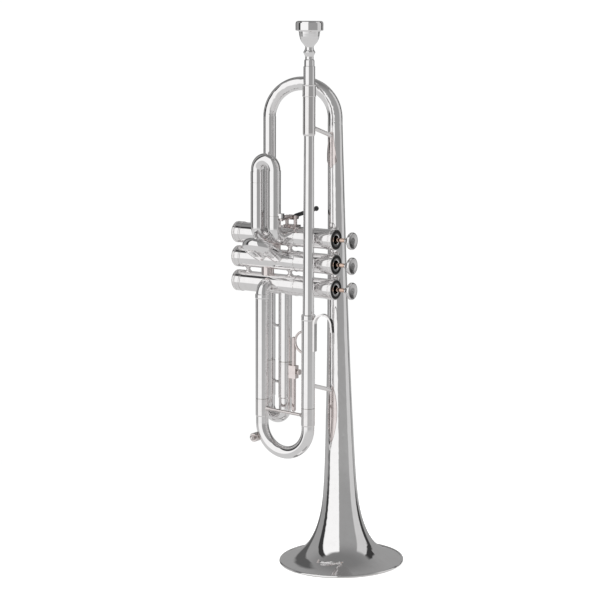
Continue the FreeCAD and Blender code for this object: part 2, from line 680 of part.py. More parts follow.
def first_crook_bar(radius):
    start = first(S1_LOW, S1_BEND)
    return fuse(bar(radius, first(S1_LOW, S1_LEG_Z), start),
                half_turn(radius, start, first(S1_HIGH, S1_BEND), AXIS_Z, 1))


def first_slide_crook():
    crook = first_crook_bar(CROOK_R).cut(first_crook_bar(CROOK_BORE))
    neck = tube(INNER_R + FIT, CROOK_BORE, first(S1_HIGH, S1_BEND - 1.5), first(S1_HIGH, S1_BEND))
    return fuse(crook, neck)


save("first_slide_elbows", first_elbow(S1_LOW), first_elbow(S1_HIGH))
save("first_slide_sleeve", first_slide_sleeve())
save("first_slide_fixed_tube", first_slide_fixed_tube())
save("first_slide_tubes",
     tube(INNER_R, INNER_BORE, first(S1_LOW, S1_ELBOW_Z + 2.0), first(S1_LOW, S1_LEG_Z)),
     first_outer_tube(), first_ferrule())
save("first_slide_crook", first_slide_crook())

# ---- second slide: distances run from the valve axis along S2_DIR ----
S2_SLEEVE_END = 20.0
S2_LEG = 21.6                 # where the crook meets the inner tubes
S2_BEND = 29.3


def second(x, distance):
    return on_valve(2, x, S2_DIR, distance)


def second_sleeve(x):
    start, end = 3.0, S2_SLEEVE_END
    sleeve = turned([(start, SLEEVE_BORE), (start, SLEEVE_R), (end - 0.4, SLEEVE_R), (end, 6.5),
                     (end, SLEEVE_BORE)], second(x, 0), S2_DIR)
    return largest(sleeve.cut(casing_bar(2)))


def second_collar(x):
    start, end = S2_SLEEVE_END + JOINT_GAP, S2_BEND
    return turned([(start, INNER_R), (start, SLEEVE_R), (end - 0.4, SLEEVE_R), (end, 6.35),
                   (end, CROOK_R - 0.2), (S2_LEG, CROOK_R - 0.2), (S2_LEG, INNER_R)],
                  second(x, 0), S2_DIR)


def second_crook_bar(radius):
    low, high = [second(x, S2_BEND) for x in SLIDE_X[2]]
    legs = [bar(radius, second(x, S2_LEG), second(x, S2_BEND)) for x in SLIDE_X[2]]
    return fuse(legs[0], half_turn(radius, low, high, S2_DIR, 1), legs[1])


def second_slide_crook():
    collars = [second_collar(x) for x in SLIDE_X[2]]
    return fuse(second_crook_bar(CROOK_R), *collars).cut(second_crook_bar(CROOK_BORE))


save("second_slide_sleeves", *[second_sleeve(x) for x in SLIDE_X[2]])
save("second_slide_tubes", *[tube(INNER_R, INNER_BORE, second(x, 10.0), second(x, S2_LEG))
                             for x in SLIDE_X[2]])
save("second_slide_crook", second_slide_crook())

# ---- third slide and its finger ring ----
S3_LOW, S3_HIGH = SLIDE_X[3]
S3_JOINT = 199.5
S3_GAP = 1.0                  # the slide rests a little out of its sleeves
S3_LEG_Z = 176.0              # where the crook meets the inner tubes
S3_BEND = 152.3
ROD_X, ROD_R = -42.2, 2.2
ROD_Z = (151.5, 222.0)
FINGER_RING_R, FINGER_RING_WIRE_R = 11.8, 1.15
FINGER_RING_Z = 219.8
CLAMP_Z0, CLAMP_Z1 = 183.0, 195.7
SCREW_Z, CLAMP_SCREW_R = 189.6, 1.3
SCREW_HEAD_R = 2.8


def third(x, z):
    return Vector(x, VALVE_Y, z)


def third_sleeve(x):
    return largest(tube(SLEEVE_R, SLEEVE_BORE, third(x, S3_JOINT), third(x, 272.0))
                   .cut(casing_bar(3)))


def third_ferrule(x):
    top, low = S3_JOINT - S3_GAP, 162.2
    return turned([(top, INNER_R), (top, 6.5), (top - 0.3, SLEEVE_R), (low + 1.2, SLEEVE_R),
                   (low, 6.35), (low, INNER_R)], third(x, 0))


def third_crook_bar(radius):
    low, high = third(S3_LOW, S3_BEND), third(S3_HIGH, S3_BEND)
    return fuse(bar(radius, low, third(S3_LOW, S3_LEG_Z)),
                half_turn(radius, low, high, AXIS_Z, -1),
                bar(radius, high, third(S3_HIGH, S3_LEG_Z)))


def third_brace(z):
    """Small spool between the two legs."""
    start = S3_LOW + 5.5
    length = S3_HIGH - 5.5 - start
    brace = waisted([(0, 0), (0, 2.6), (1.4, 2.4), (2.2, 1.5)], 1.3, length,
                    third(start, z), AXIS_X)
    for x in SLIDE_X[3]:
        brace = brace.cut(bar(SLEEVE_R, third(x, z - 9), third(x, z + 9)))
    return largest(brace)


def ring_clamp_block():
    low, top = CLAMP_Z0, CLAMP_Z1
    block = box(-47.5, -38.6, VALVE_Y - 3.0, VALVE_Y + 3.0, low, top)
    block = block.cut(bar(SLEEVE_R, third(S3_HIGH, low - 2), third(S3_HIGH, top + 0.9)))
    block = block.cut(bar(ROD_R + FIT, third(ROD_X, low - 1), third(ROD_X, top + 1)))
    block = block.cut(bar(CLAMP_SCREW_R + FIT, third(ROD_X, SCREW_Z), third(-30, SCREW_Z)))
    return largest(block)


def finger_ring():
    """Round-ended rod with the ring on its +X side."""
    low, top = [third(ROD_X, z) for z in ROD_Z]
    rod = fuse(bar(ROD_R, low, top), Part.makeSphere(ROD_R, top), Part.makeSphere(ROD_R, low))
    centre = third(ROD_X + FINGER_RING_R + 0.6, FINGER_RING_Z)
    ring = Part.makeTorus(FINGER_RING_R - FINGER_RING_WIRE_R, FINGER_RING_WIRE_R, centre, AXIS_Y)
    return fuse(rod, ring)


def ring_thumb_screw():
    grip = third(-36.8, SCREW_Z)
    radius = SCREW_HEAD_R
    screw = fuse(
        bar(CLAMP_SCREW_R, third(ROD_X + ROD_R + 0.05, SCREW_Z), grip),
        turned([(0, 0), (0, 1.7), (1.3, 1.7), (1.3, radius - 0.3), (1.6, radius), (3.4, radius),
                (3.7, radius - 0.3), (3.7, 0)], third(-38.4, SCREW_Z), AXIS_X))
    return grooved(screw, grip, 1.8, radius, 16, 0.28)


save("third_slide_tubes", *[tube(INNER_R, INNER_BORE, third(x, S3_LEG_Z), third(x, 263.5))
                            for x in SLIDE_X[3]])
save("third_slide_ferrules", *[third_ferrule(x) for x in SLIDE_X[3]])
save("third_slide_crook", third_crook_bar(CROOK_R).cut(third_crook_bar(CROOK_BORE)))
save("third_slide_sleeves", *[third_sleeve(x) for x in SLIDE_X[3]], third_brace(233.5))
save("third_slide_brace", third_brace(177.6))
save("ring_clamp_block", ring_clamp_block())
save("finger_ring", finger_ring())
save("ring_thumb_screw", ring_thumb_screw())

# ---- braces to the bell ----
FOOT_T = 0.75                 # thickness of the feet
LENS_Z0, LENS_Z1 = 122.5, 178.0
LENS_HALF_WIDTH = 5.2
LENS_STEPS = 14
KITE = [                      # (sideways from the bell axis, height)
    (-1.6, 424.0), (1.8, 424.0), (3.0, 414.0), (4.4, 404.0), (5.5, 395.4),
    (-0.6, 389.6), (-6.4, 396.5), (-6.6, 402.0), (-5.0, 410.0), (-3.2, 418.0)]
OUTLINE_Y = -60               # outlines are drawn here and pushed to the bell axis


def bell_foot(face, z_middle):
    """Plate on the -Y side of the bell, curved to it, with the outline of the face."""
    prism = face.extrude(Vector(0, BELL_LEAN_Y * z_middle - OUTLINE_Y, 0))
    return largest(bell_skin(FOOT_T).common(prism))


def kite_foot():
    heights = [z for _, z in KITE]
    z_middle = (min(heights) + max(heights)) / 2.0
    points = [Vector(BELL_LEAN_X * z_middle + x, OUTLINE_Y, z) for x, z in KITE]
    return bell_foot(polygon_face(points), z_middle)


def lens_foot():
    z_middle = (LENS_Z0 + LENS_Z1) / 2.0
    half_length = (LENS_Z1 - LENS_Z0) / 2.0
    centre_x = BELL_LEAN_X * z_middle
    right, left = [], []
    for i in range(LENS_STEPS + 1):
        share = -1 + 2.0 * i / LENS_STEPS
        width = LENS_HALF_WIDTH * (1 - share * share) ** 0.8
        z = z_middle + half_length * share
        right.append(Vector(centre_x + width, OUTLINE_Y, z))
        left.insert(0, Vector(centre_x - width, OUTLINE_Y, z))
    wire = Part.Wire([spline_edge(right), spline_edge([right[-1]] + left[1:-1] + [right[0]])])
    return bell_foot(Part.Face(wire), z_middle)


def bell_brace_rod(start, end, trim):
    """Rod from the leadpipe side to the outside of its foot on the bell."""
    along = end - start
    rod = fuse(bar(2.0, start, end), cone(3.3, 2.0, start, start + along * 0.16),
               cone(2.0, 2.6, end - along * 0.22, end))
    return largest(rod.cut(trim).cut(bell_plug(FOOT_T)))


def casing_strut():
    """Short strut with a round pad between the first casing and the bell."""
    pad = Part.makeCylinder(3.2, 30, Vector(-6.6, -26.0, 325.6), Vector(0, 1, 0.52))
    strut = fuse(bar(1.8, Vector(-5.6, VALVE_Y + 3.0, VALVE_Z[1] + 4.5), Vector(-6.6, -4.0, 335.5)),
                 pad.common(bell_skin(0.8)))
    strut = strut.cut(casing_bar(1, -30, UPPER_CASING_END, UPPER_CASING_R))
    strut = strut.cut(bell_plug(0.0)).cut(casing_bar(1, UPPER_CASING_END, 8, COLLAR_R))
    return largest(strut)


save("bell_brace_feet", kite_foot(), lens_foot())
save("bell_brace_rods",
     bell_brace_rod(lead(430.0) + AXIS_Y * 4.0, Vector(-9.0, -7.5, 420.2),
                    bar(RECEIVER_R, lead(415), lead(440))),
     bell_brace_rod(lead(181.5) + AXIS_Y * 4.0, Vector(-4.2, -9.5, 172.8),
                    bar(SLEEVE_R, lead(165), lead(200))),
     casing_strut())

# ---- little-finger hook on the main upper sleeve ----
HOOK_X, HOOK_Z = 2.9, 242.6   # centre of the hook's arc
HOOK_R = 9.6
HOOK_HALF_T = 0.9
HOOK_LOW = 215.8


def hook_side(offset):
    """One edge line of the hook: its edges, start and end."""
    radius = HOOK_R + offset
    diagonal = radius * math.sqrt(0.5)

    def at(x, z):
        return Vector(HOOK_X + x, LEAD_Y, z)

    start, left = at(-radius, HOOK_LOW), at(-radius, HOOK_Z)
    top, right, end = at(0, HOOK_Z + radius), at(radius, HOOK_Z), at(radius + 0.9, 236.2)
    edges = [Part.makeLine(start, left),
             Part.Arc(left, at(-diagonal, HOOK_Z + diagonal), top).toShape(),
             Part.Arc(top, at(diagonal, HOOK_Z + diagonal), right).toShape(),
             Part.makeLine(right, end)]
    return edges, start, end


def little_finger_hook():
    outer, outer_start, outer_end = hook_side(HOOK_HALF_T)
    inner, inner_start, inner_end = hook_side(-HOOK_HALF_T)
    ends = [Part.makeLine(outer_start, inner_start), Part.makeLine(outer_end, inner_end)]
    outline = Part.Wire(Part.__sortEdges__(outer + inner + ends))
    hook = Part.Face(outline).extrude(Vector(0, 6.0, 0))
    hook.translate(Vector(0, -3.0, 0))
    # the free end is a little narrower
    hook = hook.common(fuse(box(-20, 4, LEAD_Y - 2.4, LEAD_Y + 2.4, 200, 260),
                            box(4, 30, LEAD_Y - 2.0, LEAD_Y + 2.0, 200, 260)))
    hook = fuse(hook, box(-10.0, -5.8, LEAD_Y - 2.3, LEAD_Y + 2.3, HOOK_LOW, 246.5))
    ring_low = lead(MAIN_UPPER_TOP - 5.6)
    hook = hook.cut(bar(SLEEVE_R, lead(200), ring_low))
    return largest(hook.cut(bar(RING_R, ring_low, lead(MAIN_UPPER_TOP + 5))))


save("little_finger_hook", little_finger_hook())

# ---- thumb trigger ----
POST_OFFSETS = (-5.0, 4.8)    # the two posts, along X from the hub
PLATE_LOW, PLATE_HIGH = 328.0, 334.1
LEVER_R = 1.1
BALL = Vector(-41.2, 14.7, 346.6)     # thumb end of the lever


def beside_hub(offset):
    return HUB + AXIS_X * offset


def bracket_plate(reach, casing_radius):
    """Plate reaching +X of the hub, trimmed to the casing and the first slide's elbow."""
    plate = box(HUB.x - 7.4, HUB.x + reach, HUB.y - 3.4, HUB.y + 5.6, PLATE_LOW, PLATE_HIGH)
    return plate, casing_bar(1, -60, -30, casing_radius), first_elbow_bar(S1_HIGH, S1_ELBOW_R)


def trigger_bracket():
    plate, casing, bent = bracket_plate(7.3, BAND_R)
    posts = []
    for offset in POST_OFFSETS:
        x = HUB.x + offset
        posts += [bar(1.7, Vector(x, HUB.y, 333.0), Vector(x, HUB.y, HUB.z + 1.6)),
                  Part.makeSphere(2.1, Vector(x, HUB.y, HUB.z))]
    bracket = largest(fuse(plate, *posts).cut(casing).cut(bent))
    # shorter seat that reaches the casing below its raised band
    seat, casing, bent = bracket_plate(5.2, CASING_R)
    bracket = fuse(bracket, largest(seat.cut(casing).cut(bent)))
    pin_hole = bar(PIN_R, Vector(-56, HUB.y, HUB.z), Vector(-36, HUB.y, HUB.z))
    return largest(bracket.cut(pin_hole))


def trigger_pin():
    return fuse(bar(PIN_R, beside_hub(-7.45), beside_hub(7.2)),
                bar(1.5, beside_hub(7.2), beside_hub(7.9)),
                bar(1.5, beside_hub(-8.15), beside_hub(-7.45)))


def thumb_lever():
    lever = fuse(bar(2.5, beside_hub(-2.6), beside_hub(2.6)),
                 cone(1.6, 1.2, beside_hub(-0.55), TIP),
                 bar(1.3, TIP - AXIS_X * 1.2, TIP + AXIS_X * 1.3),
                 Part.makeSphere(1.2, TIP),
                 bar(LEVER_R, HUB, BALL))
    pin_hole = bar(PIN_R + FIT, Vector(-56, HUB.y, HUB.z), Vector(-36, HUB.y, HUB.z))
    return largest(lever.cut(pin_hole))


def thumb_lever_grip():
    """Sleeve on the long arm, ending in a ball."""
    along = (BALL - HUB).normalize()
    start = HUB + along * 6.5
    grip = fuse(bar(2.0, start, BALL), cone(1.5, 2.0, start - along * 0.8, start),
                Part.makeSphere(2.5, BALL))
    return largest(grip.cut(bar(LEVER_R, HUB, BALL)))


save("trigger_bracket", trigger_bracket())
save("trigger_pin", trigger_pin())
save("thumb_lever", thumb_lever())
save("thumb_lever_grip", thumb_lever_grip())

# ---- mouthpiece: (height, radius), up the outside and back down the bore ----
MOUTHPIECE_OUTER = [
    (446.0, shank_radius(446)), (474.0, shank_radius(474)), (486.4, 5.55), (487.0, 5.35),
    (487.3, 4.9), (492.0, 4.85), (492.7, 4.65), (493.4, 4.1), (494.0, 3.95), (496.0, 3.97),
    (497.2, 4.35), (498.4, 5.0), (499.3, 5.5), (500.0, 5.62), (500.8, 5.35), (501.9, 4.6),
    (503.2, 4.05), (504.6, 3.98), (505.6, 4.2), (506.6, 4.9), (508.0, 6.15), (509.8, 7.5),
    (512.0, 8.6), (514.6, 9.35), (517.3, 9.75), (519.2, 10.0), (519.6, 10.4), (519.8, 11.6),
    (520.1, 12.75), (520.6, 13.05), (526.2, 13.1), (527.3, 12.95), (528.2, 12.5),
    (528.8, 11.75), (529.0, 10.95), (528.75, 10.1), (528.15, 9.2), (527.3, 8.55), (526.3, 8.25)]
MOUTHPIECE_BORE = [
    (524.6, 8.1), (522.5, 7.75), (520.0, 7.15), (517.5, 6.25), (515.5, 5.2), (513.7, 3.9),
    (512.3, 2.75), (510.8, 2.05), (509.0, 1.85), (503.0, 1.85), (490.0, 2.5), (470.0, 3.5),
    (446.0, 4.35)]

save("mouthpiece", turned(MOUTHPIECE_OUTER + MOUTHPIECE_BORE, lead(0)))
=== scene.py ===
import json
import math
import random

import bpy
from mathutils import Matrix, Vector


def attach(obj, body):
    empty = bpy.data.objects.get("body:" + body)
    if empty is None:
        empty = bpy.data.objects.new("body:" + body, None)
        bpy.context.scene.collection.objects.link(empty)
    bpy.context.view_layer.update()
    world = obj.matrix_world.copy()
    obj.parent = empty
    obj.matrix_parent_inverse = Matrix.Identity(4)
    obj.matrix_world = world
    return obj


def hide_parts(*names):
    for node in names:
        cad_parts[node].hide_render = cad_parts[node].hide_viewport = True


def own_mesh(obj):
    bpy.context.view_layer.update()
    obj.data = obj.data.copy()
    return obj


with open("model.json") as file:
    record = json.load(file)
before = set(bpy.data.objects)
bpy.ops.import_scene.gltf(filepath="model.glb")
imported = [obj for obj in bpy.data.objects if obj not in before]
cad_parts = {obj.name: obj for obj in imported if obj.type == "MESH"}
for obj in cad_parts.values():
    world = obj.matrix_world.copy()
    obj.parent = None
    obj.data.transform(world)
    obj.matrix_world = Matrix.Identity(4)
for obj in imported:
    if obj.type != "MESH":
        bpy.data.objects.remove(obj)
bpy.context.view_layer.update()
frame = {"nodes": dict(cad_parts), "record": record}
random.seed(11)
scene = bpy.context.scene

# Design axes are in millimetres and lean a little; TURN makes the bell axis vertical.
MM = 0.001
BELL_AXIS = Vector((-0.020, -0.006, 1.0)).normalized()
TURN = BELL_AXIS.rotation_difference(Vector((0, 0, 1))).to_matrix()

# Valves (millimetres, design axes)
VALVE_Y = -22.5
TOP_VALVE_Z = 322.8
VALVE_PITCH = 24.0

# Return springs (millimetres)
SPRING_START_X = -29.95
SPRING_END_X = -4.65
WIRE_RADIUS = 0.33
COIL_RADIUS = 4.4
COIL_TURNS = 6.5
FLAT_TURNS = 0.75            # turns laid flat at each end
WIRE_SIDES = 10
STEPS_PER_TURN = 36
TAPER_STEPS = 5.0            # steps over which each wire end thickens
TIP_SCALE = 0.55             # wire thickness at its tips

# Camera place and axes (metres, world); CAMERA_BACK points away from the view
CAMERA_PLACE = Vector((0.9632207, -1.4938472, 0.5305516))
CAMERA_RIGHT = Vector((0.8326544928, 0.5535549768, -0.0162290878))
CAMERA_UP = Vector((-0.0717136984, 0.1368373193, 0.9879942781))
CAMERA_BACK = Vector((0.5491298946, -0.8214940266, 0.1536356833))
SENSOR_WIDTH = 36.0
FOCAL_LENGTH = 108.350714

# Level directions from the trumpet: toward the camera, and to the camera's right
TO_CAMERA = Vector((CAMERA_BACK.x, CAMERA_BACK.y, 0)).normalized()
TO_RIGHT = Vector((-TO_CAMERA.y, TO_CAMERA.x, 0))

# Studio brightness
ROOM_LEVEL = 0.32
CEILING_LEVEL = ROOM_LEVEL * 0.6
BOUNCE_LEVEL = 0.60
BACKDROP_LEVEL = 1.02        # what the camera sees behind the trumpet
# Soft panels and dark flags: azimuth from, to; elevation from, to; brightness.
# Degrees; azimuth is 0 toward the camera and positive to its right.
PANELS = (
    (-100, -80, -10, 60, 0.04),      # flag beyond the left panel
    (-80, -10, -15, 60, 0.95),       # large left panel
    (70, 110, -15, 50, 0.60),        # smaller right panel
    (110, 130, -10, 50, 0.04),       # flag beyond the right panel
    (-160, -140, -10, 50, 0.10),     # flag at the far left
)
AZIMUTH_BLUR = 5
ELEVATION_BLUR = 8

# Floor (metres)
FLOOR_HALF = 14.0
FLOOR_Z = -0.0002

# Noise scales per axis: a small one draws marks out along that axis
ALONG_X = (0.06, 1, 1)
ALONG_Z = (1, 1, 0.06)
EVEN = (1, 1, 1)

# Plated metals: lighter and darker tint, base roughness and its variation,
# then the strengths of buffing waves, scratches and painted shade in the corners.
METALS = {
    "silver_bell": dict(
        light=(0.972, 0.962, 0.962), dark=(0.950, 0.938, 0.938),
        rough=0.028, vary=0.035, wave=0.10, scratch=0.14, corner_shade=0.35),
    "silver_tube": dict(
        light=(0.962, 0.952, 0.953), dark=(0.935, 0.923, 0.925),
        rough=0.030, vary=0.04, wave=0.16, scratch=0.16, corner_shade=0.6),
    "silver_casing": dict(
        light=(0.955, 0.943, 0.943), dark=(0.925, 0.911, 0.911),
        rough=0.034, vary=0.045, wave=0.22, scratch=0.2, corner_shade=0.65, draw=ALONG_X),
    "silver_fitting": dict(
        light=(0.945, 0.928, 0.926), dark=(0.905, 0.886, 0.884),
        rough=0.045, vary=0.05, wave=0.22, scratch=0.2, corner_shade=0.7),
    "silver_trim": dict(
        light=(0.835, 0.765, 0.752), dark=(0.765, 0.695, 0.682),
        rough=0.07, vary=0.06, wave=0.35, scratch=0.25, corner_shade=0.75),
    # Darker copy of the fitting silver: painted shade standing in for the dark surroundings
    # that the brace and water keys reflect.
    "silver_fitting_shaded": dict(
        light=(0.80, 0.755, 0.745), dark=(0.72, 0.67, 0.66),
        rough=0.07, vary=0.06, wave=0.35, scratch=0.25, corner_shade=0.85),
    "nickel_inner": dict(
        light=(0.84, 0.82, 0.80), dark=(0.78, 0.76, 0.73), rough=0.06, vary=0.05,
        wave=0.1, scratch=0.25, corner_shade=0.9, corner_shade_tint=(0.10, 0.09, 0.085)),
    "silver_mouthpiece": dict(
        light=(0.975, 0.965, 0.966), dark=(0.952, 0.942, 0.943),
        rough=0.025, vary=0.03, wave=0.05, scratch=0.12, corner_shade=0.4),
    "brass_stem": dict(
        light=(0.86, 0.66, 0.55), dark=(0.74, 0.53, 0.43), rough=0.09, vary=0.06,
        wave=0.1, scratch=0.3, corner_shade=0.8, corner_shade_tint=(0.35, 0.18, 0.10), draw=ALONG_X),
    "spring_steel": dict(
        light=(0.60, 0.60, 0.61), dark=(0.50, 0.50, 0.52),
        rough=0.16, vary=0.08, wave=0.1, scratch=0.3, corner_shade=0.5),
    "button_grey": dict(
        light=(0.885, 0.875, 0.876), dark=(0.835, 0.825, 0.826),
        rough=0.13, vary=0.07, wave=0.1, scratch=0.45, corner_shade=0.5, draw=EVEN),
}

# Parts that take the duller trim silver whatever their slot
TRIM_PARTS = (
    "ring_clamp_block", "ring_thumb_screw", "finger_ring", "trigger_bracket",
    "trigger_pin", "thumb_lever", "air_knuckles", "bell_brace_feet")


def design_point(x, y, z):
    return TURN @ Vector((x, y, z)) * MM


# --------------------------------------------------------------------- camera
def add_camera():
    data = bpy.data.cameras.new("camera")
    data.sensor_width = SENSOR_WIDTH
    data.lens = FOCAL_LENGTH
    data.clip_start = 0.05
    data.clip_end = 50
    camera = bpy.data.objects.new("camera", data)
    columns = (CAMERA_RIGHT, CAMERA_UP, CAMERA_BACK, CAMERA_PLACE)
    camera.matrix_world = Matrix((*zip(*columns), (0, 0, 0, 1)))
    scene.collection.objects.link(camera)
    scene.camera = camera
    scene.view_settings.view_transform = "Standard"
    scene.view_settings.look = "None"


# -------------------------------------------------------------- shader graphs
class Graph:
    """Writes a shader graph as arithmetic; any value may be a number or a socket."""

    def __init__(self, tree):
        self.tree = tree
        tree.nodes.clear()

    def node(self, kind, **settings):
        node = self.tree.nodes.new("ShaderNode" + kind)
        for name, value in settings.items():
            setattr(node, name, value)
        return node

    def put(self, socket, value):
        if isinstance(value, bpy.types.NodeSocket):
            self.tree.links.new(value, socket)
        else:
            # Colours are written as three numbers; the alpha is added here.
            socket.default_value = (*value, 1) if socket.type == "RGBA" else value

    def feed(self, node, inputs):
        """Fill inputs by name or index and return the first output."""
        for key, value in inputs.items():
            self.put(node.inputs[key], value)
        return node.outputs[0]

    def math(self, operation, *values):
        return self.feed(self.node("Math", operation=operation), dict(enumerate(values)))

    def rise(self, value, start, end, low=0.0, high=1.0):
        """Smooth step from low at start to high at end."""
        node = self.node("MapRange", interpolation_type="SMOOTHSTEP")
        return self.feed(node, {
            "Value": value, "From Min": start, "From Max": end, "To Min": low, "To Max": high})

    def fall(self, value, start, end):
        return self.rise(value, start, end, low=1.0, high=0.0)

    def band(self, value, start, end, blur):
        """1 between start and end, with soft edges."""
        opening = self.rise(value, start - blur / 2, start + blur / 2)
        closing = self.fall(value, end - blur / 2, end + blur / 2)
        return self.math("MULTIPLY", opening, closing)

    def mix(self, first, second, factor):
        return self.feed(self.node("Mix", data_type="FLOAT"), {0: factor, 2: first, 3: second})

    def mix_color(self, first, second, factor):
        # The Mix node keeps its colour sockets at inputs 6 and 7 and output 2.
        node = self.node("Mix", data_type="RGBA")
        self.feed(node, {0: factor, 6: first, 7: second})
        return node.outputs[2]

    def mix_shader(self, first, second, factor):
        return self.feed(self.node("MixShader"), {0: factor, 1: first, 2: second})

    def noise(self, place, scale, detail, rough, distortion=0.0):
        return self.feed(self.node("TexNoise"), {
            "Vector": place, "Scale": scale, "Detail": detail, "Roughness": rough,
            "Distortion": distortion})

    def stretch(self, place, scale, rotation=(0, 0, 0)):
        return self.feed(self.node("Mapping"), {
            "Vector": place, "Scale": scale, "Rotation": rotation})

    def bump(self, height, strength, distance, under=None):
        """Normal with a relief of the given depth in metres, over another normal."""
        inputs = {"Strength": strength, "Distance": distance, "Height": height}
        if under is not None:
            inputs["Normal"] = under
        return self.feed(self.node("Bump"), inputs)


# --------------------------------------------------------------------- studio
def build_studio():
    """Grey room with floor bounce, soft panels and dark flags for clear edges."""
    world = bpy.data.worlds.new("studio")
    scene.world = world
    world.use_nodes = True
    g = Graph(world.node_tree)
    direction = g.node("TexCoord").outputs["Generated"]

    def along(axis):
        node = g.node("VectorMath", operation="DOT_PRODUCT")
        g.feed(node, {0: direction, 1: axis})
        return node.outputs["Value"]

    azimuth = g.math("DEGREES", g.math("ARCTAN2", along(TO_RIGHT), along(TO_CAMERA)))
    height = g.math("MAXIMUM", g.math("MINIMUM", along((0, 0, 1)), 1.0), -1.0)
    elevation = g.math("DEGREES", g.math("ARCSINE", height))

    side_slope = 0.0         # brightness gained per degree of azimuth
    level = g.math("MULTIPLY_ADD", azimuth, side_slope, ROOM_LEVEL)
    level = g.mix(level, CEILING_LEVEL, g.rise(elevation, start=30, end=75))
    level = g.mix(level, BOUNCE_LEVEL, g.fall(elevation, start=-20, end=-5))
    for left, right, bottom, top, brightness in PANELS:
        across = g.band(azimuth, left, right, AZIMUTH_BLUR)
        upward = g.band(elevation, bottom, top, ELEVATION_BLUR)
        level = g.mix(level, brightness, g.math("MULTIPLY", across, upward))

    white = (1.0, 1.0, 1.0)
    tint = g.mix_color(white, white, factor=0.0)
    light = g.feed(g.node("VectorMath", operation="SCALE"), {0: tint, "Scale": level})
    room = g.feed(g.node("Background"), {"Color": light, "Strength": 1.0})
    backdrop = g.feed(g.node("Background"), {"Color": white, "Strength": BACKDROP_LEVEL})
    seen_directly = g.node("LightPath").outputs["Is Camera Ray"]
    surface = g.mix_shader(room, backdrop, seen_directly)
    g.put(g.node("OutputWorld").inputs[0], surface)


# ------------------------------------------------------------------ materials
def new_material(name):
    """Return the material, its graph, shader node and object coordinates."""
    material = bpy.data.materials.new(name)
    material.use_nodes = True
    g = Graph(material.node_tree)
    shader = g.node("BsdfPrincipled")
    g.put(g.node("OutputMaterial").inputs[0], shader.outputs[0])
    return material, g, shader, g.node("TexCoord").outputs["Object"]


def metal(name, light, dark, rough, vary, wave, scratch, corner_shade,
          corner_shade_tint=(0.55, 0.50, 0.47), draw=ALONG_Z):
    """Polished plated metal: slow waviness of hand-buffed tube, faint draw and
    wipe marks, cloudier spots where it is handled, painted shade darkening the corners."""
    material, g, shader, place = new_material(name)
    waves = g.noise(place, scale=55.0, detail=2.0, rough=0.5)
    cloud = g.noise(place, scale=130.0, detail=5.0, rough=0.62)
    drawn = g.noise(g.stretch(place, draw), scale=5200.0, detail=2.0, rough=0.5)
    slanted = g.stretch(place, scale=(0.25, 0.9, 1.6), rotation=(0.5, 0.8, 0.3))
    wiped = g.noise(slanted, scale=3800.0, detail=2.0, rough=0.55)
    spots = g.noise(place, scale=420.0, detail=4.0, rough=0.6)
    spots = g.rise(spots, start=0.60, end=0.78)
    # Painted shade: where ambient occlusion finds nearby geometry (corners, creases, between
    # parts) the colour is darkened toward the corner shade tint and made rougher.
    occlusion = g.node("AmbientOcclusion", samples=4)
    g.feed(occlusion, {"Distance": 0.0022})
    corners = g.fall(occlusion.outputs["AO"], start=0.25, end=0.85)
    corner_shade_mask = g.math("MULTIPLY", corners, corner_shade)

    spot_darkening, spot_cover, corner_rough = 0.93, 0.35, 0.16
    spot_tint = [channel * spot_darkening for channel in dark]
    tone = g.mix_color(light, dark, g.rise(cloud, start=0.35, end=0.68))
    tone = g.mix_color(tone, spot_tint, g.math("MULTIPLY", spots, spot_cover))
    # Painted shade in the corners, mixed into the base colour.
    tone = g.mix_color(tone, corner_shade_tint, corner_shade_mask)
    roughness = g.math("MULTIPLY_ADD", g.rise(cloud, start=0.4, end=0.75), vary, rough)
    roughness = g.math("ADD", roughness, g.math("MULTIPLY", spots, vary * 1.2))
    roughness = g.math("ADD", roughness, g.math("MULTIPLY", corner_shade_mask, corner_rough))
    normal = g.bump(waves, strength=wave, distance=0.00022)
    normal = g.bump(drawn, strength=scratch, distance=0.0000035, under=normal)
    normal = g.bump(wiped, strength=scratch * 0.8, distance=0.000003, under=normal)
    g.feed(shader, {
        "Base Color": tone, "Metallic": 1.0, "Roughness": roughness, "Normal": normal})
    return material


def felt():
    material, g, shader, place = new_material("black_felt")
    fibres = g.noise(g.stretch(place, (1, 0.35, 0.35)),
                     scale=9000.0, detail=4.0, rough=0.7, distortion=1.2)
    tufts = g.noise(place, scale=1900.0, detail=5.0, rough=0.7)
    tone = g.mix_color((0.006, 0.006, 0.007), (0.022, 0.020, 0.019),
                       g.rise(fibres, start=0.35, end=0.75))
    tuft_cover = 0.35
    tone = g.mix_color(tone, (0.050, 0.044, 0.040), g.math(
        "MULTIPLY", g.rise(tufts, start=0.62, end=0.8), tuft_cover))
    g.feed(shader, {
        "Base Color": tone, "Roughness": 0.95, "Sheen Weight": 0.06,
        "Sheen Roughness": 0.6, "Specular IOR Level": 0.15,
        "Normal": g.bump(g.math("ADD", fibres, tufts), strength=0.8, distance=0.00012)})
    return material


def rubber():
    material, g, shader, place = new_material("black_rubber")
    pores = g.noise(place, scale=5200.0, detail=3.0, rough=0.6)
    cloud = g.noise(place, scale=260.0, detail=4.0, rough=0.6)
    tone = g.mix_color((0.012, 0.012, 0.013), (0.030, 0.029, 0.029),
                       g.rise(cloud, start=0.35, end=0.7))
    vary, rough = 0.22, 0.42
    g.feed(shader, {
        "Base Color": tone, "Roughness": g.math("MULTIPLY_ADD", cloud, vary, rough),
        "Specular IOR Level": 0.45,
        "Normal": g.bump(pores, strength=0.5, distance=0.00003)})
    return material


